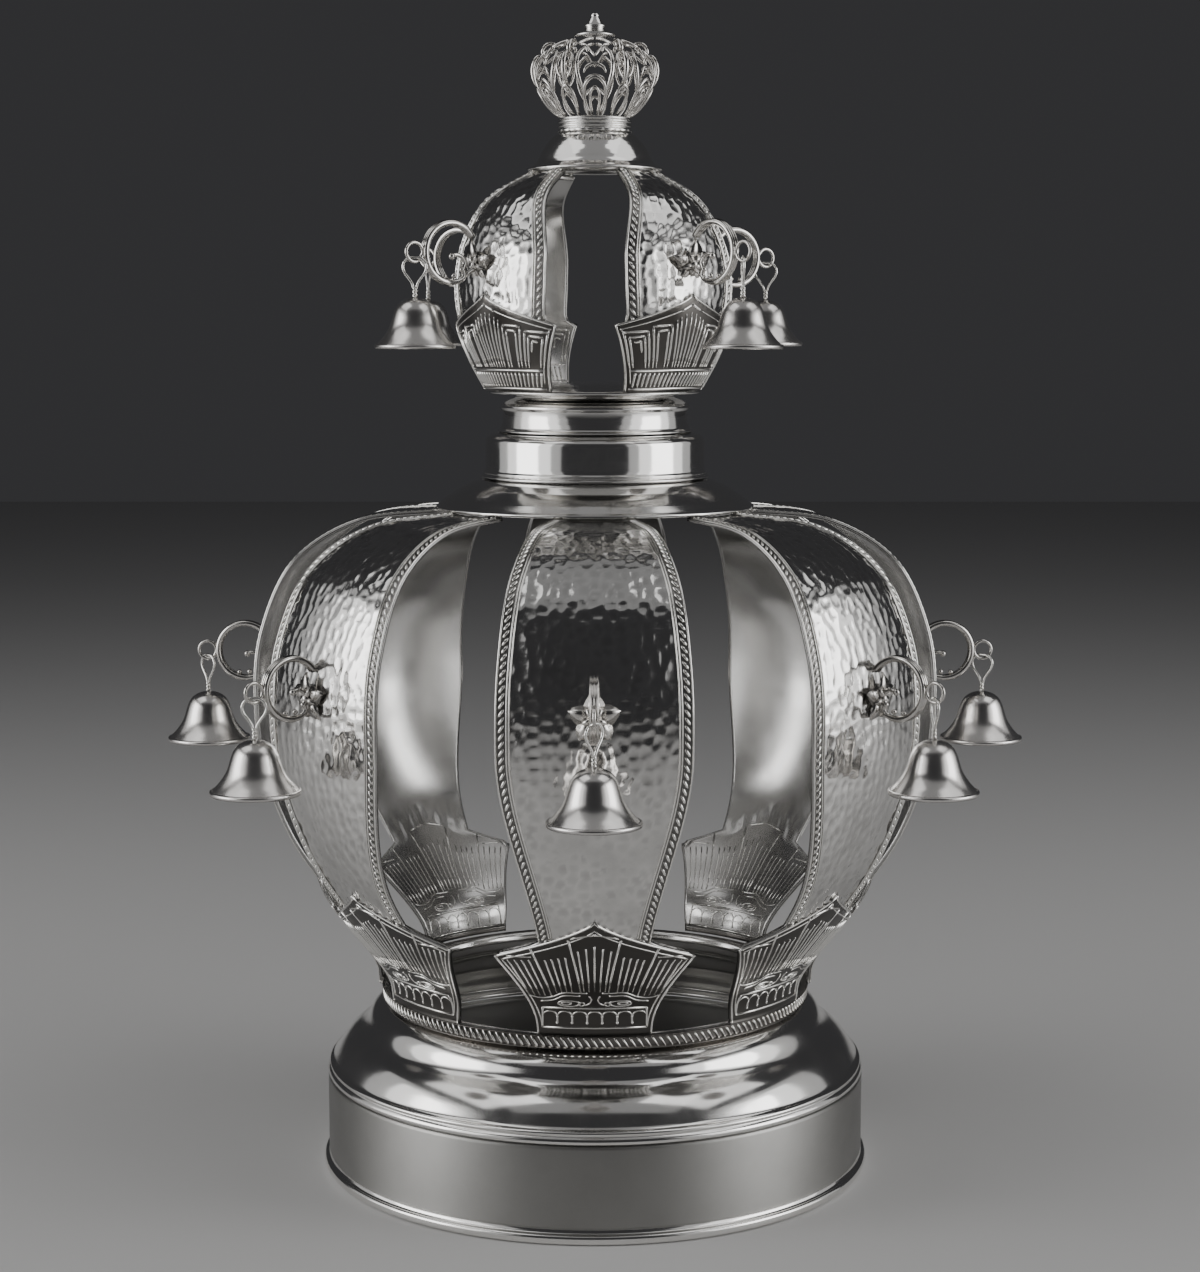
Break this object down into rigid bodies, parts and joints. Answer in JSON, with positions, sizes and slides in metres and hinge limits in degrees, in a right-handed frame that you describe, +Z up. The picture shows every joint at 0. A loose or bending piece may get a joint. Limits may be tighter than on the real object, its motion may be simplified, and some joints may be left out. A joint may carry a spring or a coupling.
{
  "type": "torah crown",
  "caption": "Silver torah crown: a spun base, hammered panels arching to a collar, a smaller crown above with an openwork finial, and bells on scroll brackets.",
  "frame": {"origin": "on the crown's axis, at the height of the flat underside of the base", "axes": "+Z up along the axis, -Y towards the front panel"},
  "size_m": [0.2814, 0.2836, 0.3675],
  "materials": {
    "polished_silver": "polished silver, spun or cast",
    "satin_silver": "satin silver, brushed round",
    "hammered_silver": "hand-hammered silver sheet, polished"
  },
  "bodies": {
    "root": {"base_band": "satin_silver", "base_dome": "polished_silver", "rope_ring": "polished_silver", "lower_panel_1": "hammered_silver", "lower_panel_2": "hammered_silver", "lower_panel_3": "hammered_silver", "lower_panel_4": "hammered_silver", "lower_panel_5": "hammered_silver", "lower_panel_6": "hammered_silver", "lower_panel_7": "hammered_silver", "lower_panel_8": "hammered_silver", "lower_cap": "polished_silver", "collar_drum": "polished_silver", "collar_necklet": "polished_silver", "upper_floor": "polished_silver", "upper_panel_1": "hammered_silver", "upper_panel_2": "hammered_silver", "upper_panel_3": "hammered_silver", "upper_panel_4": "hammered_silver", "upper_cap": "polished_silver", "finial_ring": "polished_silver", "finial_crown": "polished_silver", "finial_tip": "polished_silver", "lower_bracket_1": "polished_silver", "lower_bracket_2": "polished_silver", "lower_bracket_3": "polished_silver", "lower_bracket_4": "polished_silver", "lower_bracket_5": "polished_silver", "lower_bracket_6": "polished_silver", "lower_bracket_7": "polished_silver", "lower_bracket_8": "polished_silver", "lower_bell_loop_1": "polished_silver", "lower_bell_loop_2": "polished_silver", "lower_bell_loop_3": "polished_silver", "lower_bell_loop_4": "polished_silver", "lower_bell_loop_5": "polished_silver", "lower_bell_loop_6": "polished_silver", "lower_bell_loop_7": "polished_silver", "lower_bell_loop_8": "polished_silver", "lower_bell_1": "polished_silver", "lower_bell_2": "polished_silver", "lower_bell_3": "polished_silver", "lower_bell_4": "polished_silver", "lower_bell_5": "polished_silver", "lower_bell_6": "polished_silver", "lower_bell_7": "polished_silver", "lower_bell_8": "polished_silver", "upper_bracket_1": "polished_silver", "upper_bracket_2": "polished_silver", "upper_bracket_3": "polished_silver", "upper_bracket_4": "polished_silver", "upper_bell_loop_1": "polished_silver", "upper_bell_loop_2": "polished_silver", "upper_bell_loop_3": "polished_silver", "upper_bell_loop_4": "polished_silver", "upper_bell_1": "polished_silver", "upper_bell_2": "polished_silver", "upper_bell_3": "polished_silver", "upper_bell_4": "polished_silver"}
  },
  "joints": []
}
